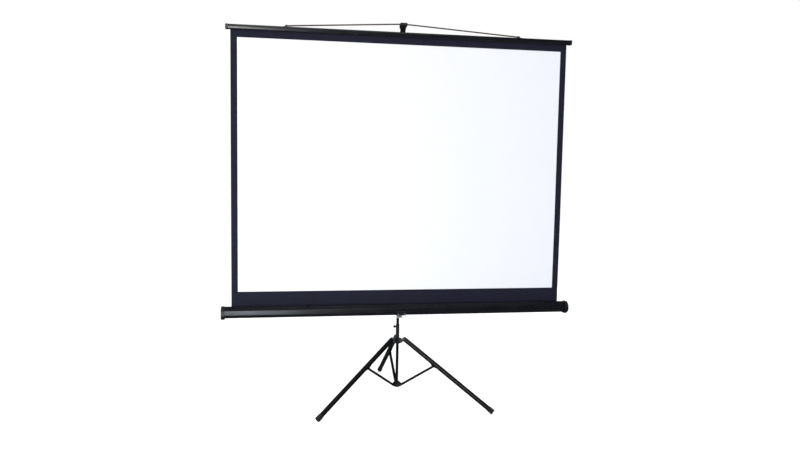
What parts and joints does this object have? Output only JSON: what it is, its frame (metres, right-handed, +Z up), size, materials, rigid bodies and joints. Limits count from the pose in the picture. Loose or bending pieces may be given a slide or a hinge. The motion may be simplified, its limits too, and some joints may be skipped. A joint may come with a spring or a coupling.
{
  "type": "tripod projection screen",
  "caption": "Manual pull-up projection screen: octagonal roller case, bordered fabric, top bar hung by a cord from an extending mast, on a folding braced tripod.",
  "frame": {"origin": "floor level, under the middle of the stand's outline", "axes": "+Z up the mast, +X to the viewer's right, -Y towards the viewer, which way the picture side faces"},
  "size_m": [1.8768, 0.8138, 2.03],
  "materials": {
    "case_paint": "satin black enamel",
    "bar_paint": "dark grey anodised",
    "black_plastic": "moulded black",
    "grey_plastic": "moulded grey",
    "leg_paint": "satin black",
    "plated_steel": "bright zinc plate",
    "rubber": "matt black rubber",
    "screen_fabric": "matt white with a black border",
    "cord": "dark braided cord"
  },
  "bodies": {
    "stand": {"column_tube": "leg_paint", "lower_hub": "black_plastic", "hub_rivet": "plated_steel", "lower_pin_rear": "plated_steel", "lower_pin_left": "plated_steel", "lower_pin_right": "plated_steel", "column_clamp": "black_plastic"},
    "column_knob": {"column_knob": "black_plastic"},
    "rear_brace": {"brace_rear": "leg_paint", "middle_pin_rear": "plated_steel"},
    "left_brace": {"brace_left": "leg_paint", "middle_pin_left": "plated_steel"},
    "right_brace": {"brace_right": "leg_paint", "middle_pin_right": "plated_steel"},
    "rear_leg": {"leg_tube_rear": "leg_paint", "leg_top_rear": "grey_plastic", "leg_lug_rear": "leg_paint", "foot_rear": "rubber"},
    "left_leg": {"leg_tube_left": "leg_paint", "leg_top_left": "grey_plastic", "leg_lug_left": "leg_paint", "foot_left": "rubber"},
    "right_leg": {"leg_tube_right": "leg_paint", "leg_top_right": "grey_plastic", "leg_lug_right": "leg_paint", "foot_right": "rubber"},
    "collar": {"leg_collar": "black_plastic", "upper_pin_rear": "plated_steel", "upper_pin_left": "plated_steel", "upper_pin_right": "plated_steel"},
    "collar_knob": {"collar_knob": "black_plastic"},
    "mast": {"mast_tube": "leg_paint", "extension_clamp": "black_plastic", "hanger_arm": "black_plastic", "hanger_plate": "plated_steel", "swivel_bolt": "plated_steel", "swivel_nut": "plated_steel"},
    "extension_knob": {"extension_knob": "black_plastic"},
    "extension": {"extension_tube": "plated_steel", "mast_head": "black_plastic", "head_pin": "plated_steel"},
    "case": {"case_shell": "case_paint", "case_saddle": "black_plastic", "end_cap_left": "black_plastic", "end_cap_right": "black_plastic", "spring_rod": "plated_steel", "roller_bush": "grey_plastic", "screen_sheet": "screen_fabric"},
    "roller": {"roller_tube": "plated_steel", "roller_plug_left": "grey_plastic", "roller_plug_right": "grey_plastic", "fabric_roll": "screen_fabric", "roller_spring": "plated_steel"},
    "bar": {"top_bar": "bar_paint", "bar_cap_left": "black_plastic", "bar_cap_right": "black_plastic", "bail_anchor_left": "black_plastic", "bail_anchor_right": "black_plastic", "bail_cord": "cord"}
  },
  "joints": [
    {"name": "tripod_fold", "type": "hinge", "parent": "stand", "child": "rear_brace", "pos_m": [0, -0.10585, 0.09072], "axis": [1, 0, 0], "range_deg": [0, 54]},
    {"name": "left_brace_fold", "type": "hinge", "parent": "stand", "child": "left_brace", "pos_m": [-0.02079, -0.14185, 0.09072], "axis": [-0.5, 0.866, 0], "range_deg": [0, 54]},
    {"name": "right_brace_fold", "type": "hinge", "parent": "stand", "child": "right_brace", "pos_m": [0.02079, -0.14185, 0.09072], "axis": [-0.5, -0.866, 0], "range_deg": [0, 54]},
    {"name": "rear_leg_fold", "type": "hinge", "parent": "rear_brace", "child": "rear_leg", "pos_m": [0, 0.07051, 0.21194], "axis": [1, 0, 0], "range_deg": [-108, 0]},
    {"name": "left_leg_fold", "type": "hinge", "parent": "left_brace", "child": "left_leg", "pos_m": [-0.17352, -0.23003, 0.21194], "axis": [-0.5, 0.866, 0], "range_deg": [-108, 0]},
    {"name": "right_leg_fold", "type": "hinge", "parent": "right_brace", "child": "right_leg", "pos_m": [0.17352, -0.23003, 0.21194], "axis": [-0.5, -0.866, 0], "range_deg": [-108, 0]},
    {"name": "collar_rise", "type": "hinge", "parent": "rear_leg", "child": "collar", "pos_m": [0, -0.10585, 0.33315], "axis": [1, 0, 0], "range_deg": [0, 54]},
    {"name": "collar_knob_turn", "type": "hinge", "parent": "collar", "child": "collar_knob", "pos_m": [-0.02, -0.12985, 0.41315], "axis": [-1, 0, 0], "range_deg": [0, 270]},
    {"name": "column_knob_turn", "type": "hinge", "parent": "stand", "child": "column_knob", "pos_m": [0, -0.105, 0.64508], "axis": [0, 1, 0], "range_deg": [0, 270]},
    {"name": "mast_height", "type": "slide", "parent": "stand", "child": "mast", "axis": [0, 0, 1], "range_m": [0, 0.3]},
    {"name": "extension_knob_turn", "type": "hinge", "parent": "mast", "child": "extension_knob", "pos_m": [0, -0.105, 1.26308], "axis": [0, 1, 0], "range_deg": [0, 270]},
    {"name": "case_swivel", "type": "hinge", "parent": "mast", "child": "case", "pos_m": [0, -0.20245, 0.523], "axis": [0, 1, 0], "range_deg": [0, 30]},
    {"name": "screen_retract", "type": "slide", "parent": "case", "child": "bar", "axis": [0, 0, -1], "range_m": [0, 1.392], "deforming": ["screen_sheet", "bail_cord"]},
    {"name": "roller_spin", "type": "hinge", "parent": "case", "child": "roller", "pos_m": [0, -0.21035, 0.523], "axis": [-1, 0, 0], "range_deg": [0, 5800]},
    {"name": "mast_extension", "type": "slide", "parent": "mast", "child": "extension", "axis": [0, 0, -1], "range_m": [0, 0.6804]}
  ],
  "couplings": [
    {"joint": "left_brace_fold", "follows": "tripod_fold", "ratio": 1},
    {"joint": "right_brace_fold", "follows": "tripod_fold", "ratio": 1},
    {"joint": "rear_leg_fold", "follows": "tripod_fold", "ratio": -2},
    {"joint": "left_leg_fold", "follows": "tripod_fold", "ratio": -2},
    {"joint": "right_leg_fold", "follows": "tripod_fold", "ratio": -2},
    {"joint": "collar_rise", "follows": "tripod_fold", "ratio": 1},
    {"joint": "roller_spin", "follows": "screen_retract", "rad_per_m": 72.464},
    {"joint": "mast_extension", "follows": "screen_retract", "ratio": 0.488}
  ]
}
